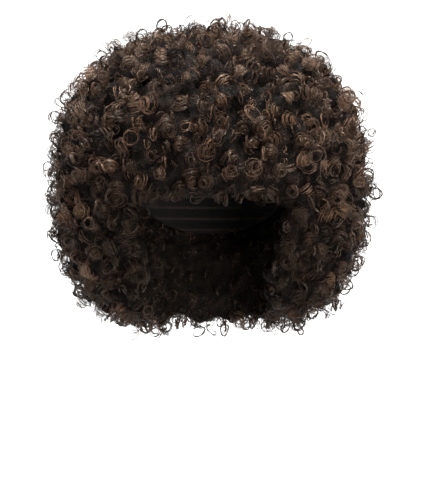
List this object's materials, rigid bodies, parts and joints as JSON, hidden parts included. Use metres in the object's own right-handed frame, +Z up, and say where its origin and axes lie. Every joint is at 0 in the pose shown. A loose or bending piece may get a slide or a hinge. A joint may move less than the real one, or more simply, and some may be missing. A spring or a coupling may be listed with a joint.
{
  "type": "afro wig",
  "caption": "Ball-shaped afro wig of tight corkscrew curls on a stretch cap, open at the face and neck, formed as it sits on a head.",
  "frame": {"origin": "inside of the cap's crown, where the top of the wearer's head meets it", "axes": "+Z up, the face looks out towards -Y, +X from the wearer's right to the wearer's left"},
  "size_m": [0.3416, 0.3169, 0.3258],
  "materials": {
    "hair": "dark brown synthetic curls with a soft sheen",
    "cap_net": "dark stretch net with sewn rows"
  },
  "bodies": {
    "root": {"wig_cap": "cap_net", "crown_hair": "hair", "fringe_hair": "hair", "left_side_hair": "hair", "right_side_hair": "hair", "back_hair": "hair", "nape_hair": "hair"}
  },
  "joints": []
}
